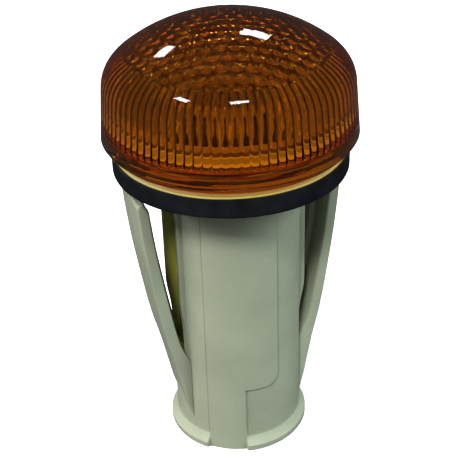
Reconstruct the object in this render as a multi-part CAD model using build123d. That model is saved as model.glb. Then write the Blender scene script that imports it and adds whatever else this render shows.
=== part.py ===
from build123d import *
import os
from math import cos, radians, sin

# Snap-in signal lamp. Millimetres, +Z up, origin at the centre of the foot's underside.
# X runs to the right and Y away from the viewer. Radii are written R, heights Z.

# amber lens
LENS_R = 25.0
LENS_BASE_R = 22.3
LENS_BASE_Z = 66.0
LENS_WIDEST_Z = 69.2
LENS_SHOULDER_R = 23.9
LENS_SHOULDER_Z = 82.4
LENS_TOP_Z = 92.0
LENS_WALL = 2.0
LENS_CORNER = 3.0
LENS_INNER_CORNER = 1.6
SKIRT_BORE_R = 20.35
SKIRT_TOP_Z = 71.2
SKIRT_BORE_CHAMFER = 0.4

# screw thread between the lens and the collar
THREAD_LEAD = 2.5
THREAD_TURNS = 1.0
RIB_ROOT_WIDTH = 1.2
RIB_CREST_WIDTH = 0.6
RIB_BURY = 0.3
COLLAR_R = 19.0
COLLAR_RIB_HEIGHT = 0.9
COLLAR_RIB_Z = 68.55
SKIRT_RIB_HEIGHT = 1.0
SKIRT_RIB_Z = COLLAR_RIB_Z - THREAD_LEAD / 2

# rubber seal in the lens's base
SEAL_INNER_R = 20.7
SEAL_OUTER_R = 21.8
SEAL_BOTTOM_Z = 65.78
SEAL_TOP_Z = 66.95
SEAL_GROOVE_GAP = 0.1
SEAL_ROUND = 0.35

# housing: flange, collar, spigot, stem and foot in one moulding
FLANGE_R = 22.5
FLANGE_TOP_Z = 65.7
FLANGE_BOTTOM_Z = 64.6
COLLAR_BORE_R = 17.4
COLLAR_TOP_Z = 72.5
FLOOR_Z = 64.0
SPIGOT_R = 18.6
SPIGOT_TOP_Z = 62.0
SPIGOT_BOTTOM_Z = 59.9
SPIGOT_GROOVE_R = 18.0
RELIEF_INNER_R = 14.8
RELIEF_OUTER_R = 17.2
RELIEF_TOP_Z = 62.3
STEM_R = 13.5
STEM_BORE_R = 12.0
SHELF_R = 11.0
SHELF_Z = 39.1
SHELF_THICK = 1.1
FOOT_R = 14.9
FOOT_EDGE_Z = 1.4
FOOT_LIP_R = 14.05
FOOT_LIP_Z = 2.4
FOOT_NECK_Z = 3.1

# raised panel on the stem's front; angles count from +X towards +Y
PANEL_R = 14.0
PANEL_START = 242.5
PANEL_SPAN = 65.0
PANEL_BOTTOM_Z = 15.6
TONGUE_START = 243.5
TONGUE_SPAN = 33.2

# panel gasket
GASKET_R = 23.3
GASKET_LIP_INNER_R = 22.75
GASKET_LIP_Z = 66.1
GASKET_LIP_ROUND = 0.2
GASKET_EDGE = 0.5
GASKET_INNER_BEVEL = 0.75

# snap arms
ARM_AZIMUTH = 19.0
ARM_WIDTH = 12.0
ARM_ROOT_R = 14.5
ARM_ROOT_Z = 21.3
ARM_ROOT_ROUND = 1.25
ARM_ROOT_GAP = 0.25
ARM_TIP_Z = 59.2
ARM_EDGE = 0.35
ARM_RIB_THICK = 1.2
BOSS_BOTTOM_Z = 5.0
BOSS_INNER_R = 11.4
WINDOW_WIDTH = 7.8
WINDOW_BOTTOM_Z = 21.0
RAIL_THICK = 1.2
RAIL_X = 13.5
RAIL_BOTTOM_Z = 28.0
WINDOW_TOP_Z = 57.0

# reflector
REFLECTOR_THICK = 0.8
REFLECTOR_HOLE_R = 10.3
REFLECTOR_RIM_R = 18.8
REFLECTOR_DISH_R = 17.1

# lamp holder
SHELL_BORE_R = 7.7
SHELL_R = 8.2
SHELL_BOTTOM_Z = 38.5
SHELL_TOP_Z = 61.5
SHELL_FLANGE_R = 10.5
SHELL_FLANGE_THICK = 0.6
CARRIER_R = 11.9
CARRIER_BORE_R = 8.75
CARRIER_SLEEVE_R = 9.95
CARRIER_MOUTH_R = 10.1
CARRIER_FLANGE = 1.5
CARRIER_TOP_Z = 63.9
INSULATOR_R = 10.8
INSULATOR_BOTTOM_Z = 34.5
SLOT_WIDTH = 2.3
SLOT_FLOOR_Z = 52.7
SLOT_TURN = 25.0
PIN_AZIMUTH = 90.0

# sprung contact
DISC_R = 5.5
DISC_BOTTOM_Z = 46.9
DISC_THICK = 0.75
DISC_BOSS_R = 2.0
DISC_BOSS_HEIGHT = 0.25
PLUNGER_R = 1.4
PLUNGER_BOTTOM_Z = 36.2
PLUNGER_HOLE_R = 1.5
SPRING_R = 3.4
SPRING_WIRE_R = 0.4
SPRING_TURNS = 5

# terminals and rivets
BLADE_WIDTH = 6.3
BLADE_THICK = 0.8
BLADE_BOTTOM_Z = 20.0
LIVE_RING_R = 5.6
LIVE_RING_BORE_R = 1.9
LIVE_RING_THICK = 0.5
LIVE_BLADE_X = -5.6
EARTH_BLADE_X = 7.3
EARTH_PLATE_END_X = 10.6
EARTH_PLATE_WIDTH = 4.4
EARTH_PLATE_THICK = 0.7
BLADE_HOLE_R = 1.0
BLADE_SLOT_GAP = 0.05
RIVET_X = 9.45
RIVET_R = 0.8
RIVET_HEAD_R = 1.2
RIVET_HEAD = 0.55

# bulb
CAP_R = 7.5
CAP_WALL = 0.35
CAP_BOTTOM_Z = 50.3
CAP_TOP_Z = 65.0
CAP_LIP_R = 6.0
BUTTON_R = 2.2
BUTTON_BOTTOM_Z = 48.0
BUTTON_TOP_Z = 49.0
BULB_INSULATOR_R = 6.9
PIN_R = 1.0
PIN_TIP_R = 8.5
PIN_Z = 56.0
GLASS_R = 9.25
GLASS_WALL = 0.6
GLASS_NECK_R = 6.9
GLASS_NECK_BOTTOM_Z = 61.0
GLASS_TOP_Z = 86.0
MOUNT_R = 2.3
MOUNT_TOP_Z = 70.5
POST_SPREAD = 3.2
POST_R = 0.28
FILAMENT_Z = 75.0
FILAMENT_R = 0.5
FILAMENT_WIRE_R = 0.16
FILAMENT_PITCH = 0.8


def turned(points):
    """Solid of revolution about Z from a closed half section of (radius, height) points."""
    return revolve(Plane.XZ * make_face(Polyline(*points, close=True)), Axis.Z)


def ring(outer_r, inner_r, bottom, top):
    """Plain ring between two heights."""
    return turned([(inner_r, bottom), (outer_r, bottom), (outer_r, top), (inner_r, top)])


def disc(radius, bottom, top):
    """Plain disc between two heights."""
    return Pos(0, 0, bottom) * extrude(Circle(radius), top - bottom)


def sector(inner_r, outer_r, bottom, top, start, span):
    """Part of a ring, from one angle round to another."""
    half = Polyline((inner_r, bottom), (outer_r, bottom), (outer_r, top), (inner_r, top), close=True)
    return Rot(0, 0, start) * revolve(Plane.XZ * make_face(half), Axis.Z, revolution_arc=span)


def helical_rib(root_r, height, start_z):
    """Thread rib of a trapezium's section; a negative height makes it point inwards."""
    path = Helix(pitch=THREAD_LEAD, height=THREAD_LEAD * THREAD_TURNS, radius=root_r)
    bury = -RIB_BURY if height > 0 else RIB_BURY
    root = RIB_ROOT_WIDTH / 2
    crest = RIB_CREST_WIDTH / 2
    outline = Polyline((bury, -root), (height, -crest), (height, crest), (bury, root), close=True)
    plane = Plane(origin=path @ 0, x_dir=(1, 0, 0), z_dir=path % 0)
    return Pos(0, 0, start_z) * sweep(plane * make_face(outline), path=path, is_frenet=True)


def dome(base_r, base_z, wide_r, wide_z, shoulder_r, shoulder_z, top_z, corner):
    """Closed dome: bevelled foot, tapered wall, rounded shoulder and a shallow round crown."""
    rise = top_z - shoulder_z
    crown_r = (shoulder_r**2 + rise**2) / (2 * rise)
    half_angle = radians(20)
    middle = (crown_r * sin(half_angle), top_z - crown_r * (1 - cos(half_angle)))
    wall = Polyline((0, top_z), (0, base_z), (base_r, base_z), (wide_r, wide_z), (shoulder_r, shoulder_z))
    crown = ThreePointArc((shoulder_r, shoulder_z), middle, (0, top_z))
    section = make_face([wall, crown])
    shoulder = section.vertices().sort_by_distance((shoulder_r, shoulder_z))[0]
    return revolve(Plane.XZ * fillet(shoulder, corner), Axis.Z)


def lens():
    outside = dome(LENS_BASE_R, LENS_BASE_Z, LENS_R, LENS_WIDEST_Z,
                   LENS_SHOULDER_R, LENS_SHOULDER_Z, LENS_TOP_Z, LENS_CORNER)
    inner_wide_r = LENS_R - LENS_WALL - 0.2
    inside = dome(inner_wide_r, SKIRT_TOP_Z, inner_wide_r, SKIRT_TOP_Z + 1.0,
                  LENS_SHOULDER_R - LENS_WALL, LENS_SHOULDER_Z - 1.0, LENS_TOP_Z - LENS_WALL, LENS_INNER_CORNER)
    bore = disc(SKIRT_BORE_R, LENS_BASE_Z, SKIRT_TOP_Z)
    lead_in = Pos(0, 0, LENS_BASE_Z) * Cone(SKIRT_BORE_R + SKIRT_BORE_CHAMFER, SKIRT_BORE_R, SKIRT_BORE_CHAMFER,
                                            align=(Align.CENTER, Align.CENTER, Align.MIN))
    groove = ring(SEAL_OUTER_R + SEAL_GROOVE_GAP, SEAL_INNER_R - SEAL_GROOVE_GAP,
                  LENS_BASE_Z, SEAL_TOP_Z + SEAL_GROOVE_GAP)
    shell = outside - inside - bore - lead_in - groove
    return shell + helical_rib(SKIRT_BORE_R, -SKIRT_RIB_HEIGHT, SKIRT_RIB_Z)


def lens_seal():
    seal = ring(SEAL_OUTER_R, SEAL_INNER_R, SEAL_BOTTOM_Z, SEAL_TOP_Z)
    return fillet(seal.edges().filter_by(GeomType.CIRCLE), SEAL_ROUND)


def housing_head():
    """Flange, threaded collar, gasket groove and the spigot below it."""
    head = turned([
        (STEM_BORE_R, SPIGOT_BOTTOM_Z), (RELIEF_INNER_R, SPIGOT_BOTTOM_Z), (RELIEF_INNER_R, RELIEF_TOP_Z),
        (RELIEF_OUTER_R, RELIEF_TOP_Z), (RELIEF_OUTER_R, SPIGOT_BOTTOM_Z), (SPIGOT_R, SPIGOT_BOTTOM_Z),
        (SPIGOT_R, SPIGOT_TOP_Z), (SPIGOT_GROOVE_R, SPIGOT_TOP_Z), (SPIGOT_GROOVE_R, FLANGE_BOTTOM_Z),
        (FLANGE_R, FLANGE_BOTTOM_Z), (FLANGE_R, FLANGE_TOP_Z), (COLLAR_R, FLANGE_TOP_Z),
        (COLLAR_R, COLLAR_TOP_Z), (COLLAR_BORE_R, COLLAR_TOP_Z), (COLLAR_BORE_R, FLOOR_Z),
        (STEM_BORE_R, FLOOR_Z),
    ])
    return head + helical_rib(COLLAR_R, COLLAR_RIB_HEIGHT, COLLAR_RIB_Z)


def housing_stem():
    """Hollow stem with its foot, the shelf for the lamp holder and the raised front panel."""
    stem = turned([
        (STEM_BORE_R, 0), (FOOT_R, 0), (FOOT_R, FOOT_EDGE_Z), (FOOT_LIP_R, FOOT_LIP_Z),
        (STEM_R, FOOT_NECK_Z), (STEM_R, SPIGOT_BOTTOM_Z + 0.5), (STEM_BORE_R, SPIGOT_BOTTOM_Z + 0.5),
        (STEM_BORE_R, SHELF_Z), (SHELF_R, SHELF_Z), (SHELF_R, SHELF_Z - SHELF_THICK),
        (STEM_BORE_R, SHELF_Z - SHELF_THICK - 1.0),
    ])
    panel_top = SPIGOT_BOTTOM_Z + 0.2
    foot_gap = sector(PANEL_R, FOOT_R + 1, -1, FOOT_NECK_Z, TONGUE_START, TONGUE_SPAN)
    panel = sector(STEM_R - 0.5, PANEL_R, PANEL_BOTTOM_Z, panel_top, PANEL_START, PANEL_SPAN)
    tongue = sector(STEM_R - 0.5, PANEL_R, 0, PANEL_BOTTOM_Z + 1, TONGUE_START, TONGUE_SPAN)
    return stem - foot_gap + panel + tongue


def arm_root_boss():
    """Wedge on the stem that each arm grows out of."""
    outer = Spline((BOSS_INNER_R + 0.6, BOSS_BOTTOM_Z), (13.85, 12.35), (14.6, 16.1), (15.7, ARM_ROOT_Z))
    inner = Polyline((15.7, ARM_ROOT_Z), (BOSS_INNER_R, ARM_ROOT_Z), (BOSS_INNER_R, BOSS_BOTTOM_Z),
                     (BOSS_INNER_R + 0.6, BOSS_BOTTOM_Z))
    wedge = extrude(Plane.XZ * make_face([outer, inner]), ARM_WIDTH / 2, both=True)
    return wedge - disc(STEM_BORE_R, 0, ARM_ROOT_Z + 1)


def arm_root_seat():
    """Round seat for an arm's root, cut into the wedge and the stem's wall."""
    return Pos(ARM_ROOT_R, 0, ARM_ROOT_Z) * Rot(90, 0, 0) * Cylinder(ARM_ROOT_ROUND + ARM_ROOT_GAP, ARM_WIDTH + 2)


def stem_window():
    """Opening in the stem's wall behind an arm."""
    height = WINDOW_TOP_Z - WINDOW_BOTTOM_Z
    box = Box(6, WINDOW_WIDTH, height, align=(Align.MIN, Align.CENTER, Align.MIN))
    return Pos(SHELF_R - 0.5, 0, WINDOW_BOTTOM_Z) * box


def window_rails():
    """Low rails along both sides of a window, which stop the arm when it is pressed in."""
    width = WINDOW_WIDTH + 2 * RAIL_THICK
    height = SPIGOT_BOTTOM_Z + 0.3 - RAIL_BOTTOM_Z
    block = Pos(0, 0, RAIL_BOTTOM_Z) * Box(RAIL_X, width, height, align=(Align.MIN, Align.CENTER, Align.MIN))
    return block - disc(STEM_R - 0.5, RAIL_BOTTOM_Z - 1, SPIGOT_BOTTOM_Z + 1)


def housing():
    body = housing_head() + housing_stem()
    for azimuth in (ARM_AZIMUTH, ARM_AZIMUTH + 180):
        body = body + Rot(0, 0, azimuth) * arm_root_boss() + Rot(0, 0, azimuth) * window_rails()
        body = body - Rot(0, 0, azimuth) * arm_root_seat()
        body = body - Rot(0, 0, azimuth) * stem_window()
    return body


def arm_rib():
    """Stiffening rib down the middle of an arm's inner face, narrow enough to enter the window behind it."""
    edge = Polyline((18.8, 56.9), (17.1, 54.4), (16.25, 46.1), (15.15, 38.6), (14.0, 31.1), (13.5, 27.0),
                    (14.8, 24.4))
    back = Polyline((14.8, 24.4), (16.6, 31.1), (17.8, 38.6), (18.8, 46.1), (19.6, 53.6), (18.8, 56.9))
    return extrude(Plane.XZ * make_face([edge, back]), ARM_RIB_THICK / 2, both=True)


def snap_arm(azimuth):
    """Springy arm: a slightly bowed strap that leans out from its round root."""
    tip_z = ARM_TIP_Z
    outer = Spline((15.75, 21.4), (16.75, 25.5), (17.8, 31.1), (18.95, 38.6),
                   (20.0, 46.1), (20.8, 53.6), (21.2, tip_z))
    inner = Spline((18.9, tip_z - 0.9), (18.5, 53.6), (17.7, 46.1), (16.6, 38.6),
                   (15.4, 31.1), (14.3, 25.5), (13.3, 21.4))
    tip = Polyline((21.2, tip_z), (19.5, tip_z), (18.9, tip_z - 0.9))
    foot = Line((13.3, 21.4), (15.75, 21.4))
    strap = extrude(Plane.XZ * make_face([outer, tip, inner, foot]), ARM_WIDTH / 2, both=True)
    strap = fillet(strap.faces().sort_by(Axis.Y)[0].edges().filter_by(GeomType.BSPLINE), ARM_EDGE)
    strap = fillet(strap.faces().sort_by(Axis.Y)[-1].edges().filter_by(GeomType.BSPLINE), ARM_EDGE)
    root = Pos(ARM_ROOT_R, 0, ARM_ROOT_Z) * Rot(90, 0, 0) * Cylinder(ARM_ROOT_ROUND, ARM_WIDTH)
    return Rot(0, 0, azimuth) * (strap + root + arm_rib())


def panel_gasket():
    """Rubber ring under the flange, with a lip that stands up round the flange's edge."""
    return turned([
        (SPIGOT_GROOVE_R, SPIGOT_TOP_Z + GASKET_INNER_BEVEL), (SPIGOT_GROOVE_R + GASKET_INNER_BEVEL, SPIGOT_TOP_Z),
        (GASKET_R - GASKET_EDGE, SPIGOT_TOP_Z), (GASKET_R, SPIGOT_TOP_Z + GASKET_EDGE),
        (GASKET_R, GASKET_LIP_Z - GASKET_LIP_ROUND), (GASKET_R - GASKET_LIP_ROUND, GASKET_LIP_Z),
        (GASKET_LIP_INNER_R, GASKET_LIP_Z), (GASKET_LIP_INNER_R, FLANGE_BOTTOM_Z), (SPIGOT_GROOVE_R, FLANGE_BOTTOM_Z),
    ])


def reflector():
    """Dish with a rim that rests on the collar."""
    rim_top = COLLAR_TOP_Z + REFLECTOR_THICK
    inner_r = REFLECTOR_DISH_R - REFLECTOR_THICK
    low = FLOOR_Z + 0.1
    under = ThreePointArc((REFLECTOR_HOLE_R, low), (15.2, 67.2), (REFLECTOR_DISH_R, COLLAR_TOP_Z))
    rim = Polyline((REFLECTOR_DISH_R, COLLAR_TOP_Z), (REFLECTOR_RIM_R, COLLAR_TOP_Z),
                   (REFLECTOR_RIM_R, rim_top), (inner_r, rim_top))
    over = ThreePointArc((inner_r, rim_top), (14.5, 67.7), (REFLECTOR_HOLE_R, low + REFLECTOR_THICK))
    hole = Line((REFLECTOR_HOLE_R, low + REFLECTOR_THICK), (REFLECTOR_HOLE_R, low))
    return revolve(Plane.XZ * make_face([under, rim, over, hole]), Axis.Z)


def rivet_places():
    return [Pos(RIVET_X, 0, 0), Pos(-RIVET_X, 0, 0)]


def holder_carrier():
    """Bobbin that centres the metal shell in the stem."""
    bottom = SHELL_BOTTOM_Z + SHELL_FLANGE_THICK
    bobbin = turned([
        (CARRIER_BORE_R, bottom), (CARRIER_R, bottom), (CARRIER_R, bottom + CARRIER_FLANGE),
        (CARRIER_SLEEVE_R, bottom + CARRIER_FLANGE), (CARRIER_SLEEVE_R, CARRIER_TOP_Z - 2 * CARRIER_FLANGE),
        (CARRIER_R, CARRIER_TOP_Z - CARRIER_FLANGE), (CARRIER_R, CARRIER_TOP_Z),
        (CARRIER_MOUTH_R, CARRIER_TOP_Z), (CARRIER_BORE_R, CARRIER_TOP_Z - 2 * CARRIER_FLANGE),
    ])
    for place in rivet_places():
        bobbin = bobbin - place * disc(RIVET_HEAD_R + 0.3, bottom - 1, bottom + RIVET_HEAD + 0.3)
    return bobbin


def bayonet_slot(azimuth):
    """J-shaped slot: down from the rim, along, and up into the resting notch at the given angle."""
    entry = azimuth - SLOT_TURN
    half = SLOT_WIDTH / 2
    reach = Plane.YZ.offset(SHELL_BORE_R - 1)
    down = Box(3, SLOT_WIDTH, SHELL_TOP_Z + 1 - SLOT_FLOOR_Z, align=(Align.MIN, Align.CENTER, Align.MIN))
    notch_height = PIN_Z - SLOT_FLOOR_Z
    notch = Box(3, SLOT_WIDTH, notch_height, align=(Align.MIN, Align.CENTER, Align.MIN))
    crown = reach * extrude(Circle(half), 3)
    along = sector(SHELL_BORE_R - 1, SHELL_R + 1, SLOT_FLOOR_Z, SLOT_FLOOR_Z + SLOT_WIDTH + 0.2, entry, SLOT_TURN)
    slot = along + Rot(0, 0, entry) * Pos(SHELL_BORE_R - 1, 0, SLOT_FLOOR_Z) * down
    slot = slot + Rot(0, 0, azimuth) * Pos(SHELL_BORE_R - 1, 0, SLOT_FLOOR_Z) * notch
    return slot + Rot(0, 0, azimuth) * Pos(0, 0, PIN_Z) * crown


def holder_shell():
    shell = ring(SHELL_R, SHELL_BORE_R, SHELL_BOTTOM_Z, SHELL_TOP_Z)
    shell = shell + ring(SHELL_FLANGE_R, SHELL_BORE_R, SHELL_BOTTOM_Z, SHELL_BOTTOM_Z + SHELL_FLANGE_THICK)
    for azimuth in (PIN_AZIMUTH, PIN_AZIMUTH + 180):
        shell = shell - bayonet_slot(azimuth)
    for place in rivet_places():
        shell = shell - place * disc(RIVET_R, SHELL_BOTTOM_Z - 1, SHELL_BOTTOM_Z + 2)
    return shell


def holder_insulator():
    plate = disc(INSULATOR_R, INSULATOR_BOTTOM_Z, SHELL_BOTTOM_Z)
    plate = chamfer(plate.edges().group_by(Axis.Z)[0], 0.6)
    plate = plate - disc(PLUNGER_HOLE_R, INSULATOR_BOTTOM_Z - 1, SHELL_BOTTOM_Z + 1)
    plate = plate - Pos(LIVE_BLADE_X, 0, INSULATOR_BOTTOM_Z + 1) * Box(
        BLADE_THICK + 2 * BLADE_SLOT_GAP, BLADE_WIDTH + 2 * BLADE_SLOT_GAP, 12)
    for place in rivet_places():
        plate = plate - place * disc(RIVET_R, INSULATOR_BOTTOM_Z - 1, SHELL_BOTTOM_Z + 1)
    return plate


def blade(x, top):
    """Push-on tab with a detent hole and a tapered tip."""
    height = top - BLADE_BOTTOM_Z
    tab = Pos(x, 0, BLADE_BOTTOM_Z) * Box(BLADE_THICK, BLADE_WIDTH, height,
                                          align=(Align.CENTER, Align.CENTER, Align.MIN))
    tab = chamfer(tab.edges().filter_by(Axis.X).group_by(Axis.Z)[0], 1.2)
    hole = Pos(x, 0, BLADE_BOTTOM_Z + 3.5) * Rot(0, 90, 0) * Cylinder(BLADE_HOLE_R, 3)
    return tab - hole


def live_terminal():
    top = SHELL_BOTTOM_Z + LIVE_RING_THICK
    return ring(LIVE_RING_R, LIVE_RING_BORE_R, SHELL_BOTTOM_Z, top) + blade(LIVE_BLADE_X, top)


def earth_terminal():
    top = INSULATOR_BOTTOM_Z
    start = EARTH_BLADE_X - BLADE_THICK / 2
    length = EARTH_PLATE_END_X - start
    plate = Pos(start, 0, top) * Box(length, EARTH_PLATE_WIDTH, EARTH_PLATE_THICK,
                                     align=(Align.MIN, Align.CENTER, Align.MAX))
    tab = plate + blade(EARTH_BLADE_X, top)
    return tab - Pos(RIVET_X, 0, 0) * disc(RIVET_R, top - 2, top + 1)


def terminal_rivets():
    """Two tubular rivets; the one through the earth tab is longer by the tab's thickness."""
    top = SHELL_BOTTOM_Z + SHELL_FLANGE_THICK
    tails = (INSULATOR_BOTTOM_Z - EARTH_PLATE_THICK, INSULATOR_BOTTOM_Z)
    rivets = []
    for place, tail in zip(rivet_places(), tails):
        shank = disc(RIVET_R, tail - RIVET_HEAD, top + RIVET_HEAD)
        heads = disc(RIVET_HEAD_R, top, top + RIVET_HEAD) + disc(RIVET_HEAD_R, tail - RIVET_HEAD, tail)
        rivets.append(place * (shank + heads - disc(RIVET_R / 2, tail - 1, tail + 1)))
    return Compound(children=rivets)


def plunger_disc():
    plate = disc(DISC_R, DISC_BOTTOM_Z, DISC_BOTTOM_Z + DISC_THICK)
    plate = chamfer(plate.edges().group_by(Axis.Z)[-1], 0.25)
    boss_top = DISC_BOTTOM_Z + DISC_THICK + DISC_BOSS_HEIGHT
    return plate + disc(DISC_BOSS_R, DISC_BOTTOM_Z, boss_top)


def plunger():
    stem = disc(PLUNGER_R, PLUNGER_BOTTOM_Z, DISC_BOTTOM_Z)
    return chamfer(stem.edges().group_by(Axis.Z)[0], 0.3)


def contact_spring():
    bottom = SHELL_BOTTOM_Z + LIVE_RING_THICK + SPRING_WIRE_R
    top = DISC_BOTTOM_Z - SPRING_WIRE_R
    path = Helix(pitch=(top - bottom) / SPRING_TURNS, height=top - bottom, radius=SPRING_R)
    section = Plane(origin=path @ 0, z_dir=path % 0) * Circle(SPRING_WIRE_R)
    return Pos(0, 0, bottom) * sweep(section, path=path, is_frenet=True)


def bulb_cap():
    inner = CAP_R - CAP_WALL
    return turned([
        (CAP_LIP_R, CAP_BOTTOM_Z), (CAP_R - 0.3, CAP_BOTTOM_Z), (CAP_R, CAP_BOTTOM_Z + 0.3),
        (CAP_R, CAP_TOP_Z), (inner, CAP_TOP_Z), (inner, CAP_BOTTOM_Z + 0.5), (CAP_LIP_R, CAP_BOTTOM_Z + 0.5),
    ])


def bulb_pins():
    pins = []
    for azimuth in (PIN_AZIMUTH, PIN_AZIMUTH + 180):
        pin = Rot(0, 90, 0) * Cylinder(PIN_R, PIN_TIP_R - CAP_R + 0.1, align=(Align.CENTER, Align.CENTER, Align.MIN))
        pin = chamfer(pin.edges().sort_by(Axis.X)[-1], 0.15)
        pin = Pos(CAP_R - 0.1, 0, PIN_Z) * pin - disc(CAP_R, PIN_Z - 2, PIN_Z + 2)
        pins.append(Rot(0, 0, azimuth) * pin)
    return Compound(children=pins)


def bulb_insulator():
    return turned([(0, BUTTON_TOP_Z), (BUTTON_R + 0.4, BUTTON_TOP_Z), (CAP_LIP_R, CAP_BOTTOM_Z),
                   (CAP_LIP_R, CAP_BOTTOM_Z + 0.5), (BULB_INSULATOR_R, CAP_BOTTOM_Z + 0.5),
                   (BULB_INSULATOR_R, CAP_BOTTOM_Z + 2.0), (0, CAP_BOTTOM_Z + 2.0)])


def bulb_contact():
    button = disc(BUTTON_R, BUTTON_BOTTOM_Z, BUTTON_TOP_Z)
    return fillet(button.edges().group_by(Axis.Z)[0], 0.7)


def globe(inset):
    """Bulb's outline shrunk by an inset: straight neck, swelling shoulder, round top."""
    neck = GLASS_NECK_R - inset
    wide = GLASS_R - inset
    centre_z = GLASS_TOP_Z - GLASS_R
    bottom = GLASS_NECK_BOTTOM_Z + inset
    swell = Spline((neck, CAP_TOP_Z), (neck + 1.1, CAP_TOP_Z + 3.2), (wide, centre_z), tangents=((0.2, 1), (0, 1)))
    corner = (wide * cos(radians(45)), centre_z + wide * sin(radians(45)))
    top = ThreePointArc((wide, centre_z), corner, (0, centre_z + wide))
    rest = Polyline((0, centre_z + wide), (0, bottom), (neck, bottom), (neck, CAP_TOP_Z))
    return revolve(Plane.XZ * make_face([swell, top, rest]), Axis.Z)


def bulb_glass():
    return globe(0) - globe(GLASS_WALL)


def bulb_stem():
    """Glass mount that carries the lead wires, standing on the floor of the bulb."""
    floor = GLASS_NECK_BOTTOM_Z + GLASS_WALL
    tube = turned([(0, floor), (MOUNT_R + 1.6, floor), (MOUNT_R + 0.3, floor + 2.2),
                   (MOUNT_R, MOUNT_TOP_Z - 2), (MOUNT_R - 0.5, MOUNT_TOP_Z), (0, MOUNT_TOP_Z)])
    return tube - filament_posts()


def filament_posts():
    """Two lead wires that rise out of the glass mount and lean apart."""
    posts = []
    for side in (-1, 1):
        wire = Polyline((side * 1.1, 0, MOUNT_TOP_Z - 4), (side * 1.1, 0, MOUNT_TOP_Z + 0.2),
                        (side * POST_SPREAD, 0, FILAMENT_Z))
        section = Plane(origin=wire @ 0, z_dir=(0, 0, 1)) * Circle(POST_R)
        posts.append(sweep(section, path=wire, transition=Transition.RIGHT))
    return Compound(children=posts)


def filament():
    """Coil strung between the tops of the lead wires."""
    length = 2 * (POST_SPREAD - POST_R) - 0.3
    path = Helix(pitch=FILAMENT_PITCH, height=length, radius=FILAMENT_R)
    section = Plane(origin=path @ 0, z_dir=path % 0) * Circle(FILAMENT_WIRE_R)
    coil = sweep(section, path=path, is_frenet=True)
    return Pos(-length / 2, 0, FILAMENT_Z + 0.3) * Rot(0, 90, 0) * coil


export_step(lens(), "parts/lens.step")
export_step(lens_seal(), "parts/lens_seal.step")
export_step(housing(), "parts/housing.step")
export_step(snap_arm(ARM_AZIMUTH), "parts/snap_arm_right.step")
export_step(snap_arm(ARM_AZIMUTH + 180), "parts/snap_arm_left.step")
export_step(panel_gasket(), "parts/panel_gasket.step")
export_step(reflector(), "parts/reflector.step")
export_step(holder_carrier(), "parts/holder_carrier.step")
export_step(holder_shell(), "parts/holder_shell.step")
export_step(holder_insulator(), "parts/holder_insulator.step")
export_step(live_terminal(), "parts/live_terminal.step")
export_step(earth_terminal(), "parts/earth_terminal.step")
export_step(terminal_rivets(), "parts/terminal_rivets.step")
export_step(plunger_disc(), "parts/plunger_disc.step")
export_step(plunger(), "parts/plunger.step")
export_step(contact_spring(), "parts/contact_spring.step")
export_step(bulb_glass(), "parts/bulb_glass.step")
export_step(bulb_cap(), "parts/bulb_cap.step")
export_step(bulb_pins(), "parts/bulb_pins.step")
export_step(bulb_insulator(), "parts/bulb_insulator.step")
export_step(bulb_contact(), "parts/bulb_contact.step")
export_step(bulb_stem(), "parts/bulb_stem.step")
export_step(filament_posts(), "parts/filament_posts.step")
export_step(filament(), "parts/filament.step")
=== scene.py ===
import logging
import math
from dataclasses import dataclass, field
from enum import Enum
from typing import Callable, Optional, Sequence

import bmesh
import bpy
import numpy as np
from mathutils import Matrix


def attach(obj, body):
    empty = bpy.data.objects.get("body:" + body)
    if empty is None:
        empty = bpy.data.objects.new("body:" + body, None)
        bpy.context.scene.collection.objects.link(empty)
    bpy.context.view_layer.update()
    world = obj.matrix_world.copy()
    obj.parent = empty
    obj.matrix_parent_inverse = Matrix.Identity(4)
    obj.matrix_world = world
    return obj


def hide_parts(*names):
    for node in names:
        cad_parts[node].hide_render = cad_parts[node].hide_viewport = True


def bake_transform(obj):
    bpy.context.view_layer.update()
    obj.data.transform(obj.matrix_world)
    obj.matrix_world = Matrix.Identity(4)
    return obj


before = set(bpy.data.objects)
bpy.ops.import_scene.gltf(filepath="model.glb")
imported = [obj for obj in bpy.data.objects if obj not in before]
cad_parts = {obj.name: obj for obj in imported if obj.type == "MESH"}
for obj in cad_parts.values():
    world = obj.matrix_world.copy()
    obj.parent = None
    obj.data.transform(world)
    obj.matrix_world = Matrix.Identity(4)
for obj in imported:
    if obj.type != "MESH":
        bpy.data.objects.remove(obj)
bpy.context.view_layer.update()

# Snap-in signal lamp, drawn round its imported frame.
# Lengths in the dataclass fields are millimetres; meshes are written in metres. The stem stands on the
# origin, +Z runs up to the lens, +X to the right and +Y away from the viewer. Angles count from +X
# towards +Y, in degrees.

MM = 0.001
TURN = 2.0 * math.pi
SHARP_ANGLE = math.radians(34)
log = logging.getLogger("signal_lamp")

Triple = tuple[float, float, float]
Push = Callable[[np.ndarray, np.ndarray, np.ndarray], np.ndarray]


class Body(Enum):
    """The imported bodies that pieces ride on."""

    HOUSING = "housing"
    LENS = "lens"
    SEAL = "lens_seal"
    ARM_LEFT = "snap_arm_left"
    ARM_RIGHT = "snap_arm_right"
    BULB = "bulb"


class Pattern(Enum):
    """The surface patterns a solid finish may carry."""

    GRAIN = "grain"
    BRUSHED = "brushed"
    LAYERED = "layered"


# ---------------------------------------------------------------- number helpers


def ease(value: np.ndarray, low: float, high: float) -> np.ndarray:
    """Smooth step: 0 below low, 1 above high, and t squared times (3 - 2t) between.

    Args:
        value: numbers to ease.
        low: where the step begins.
        high: where the step ends.

    Returns:
        The eased numbers, from 0 to 1.
    """
    t = np.clip((value - low) / (high - low), 0.0, 1.0)
    return t * t * (3.0 - 2.0 * t)


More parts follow.
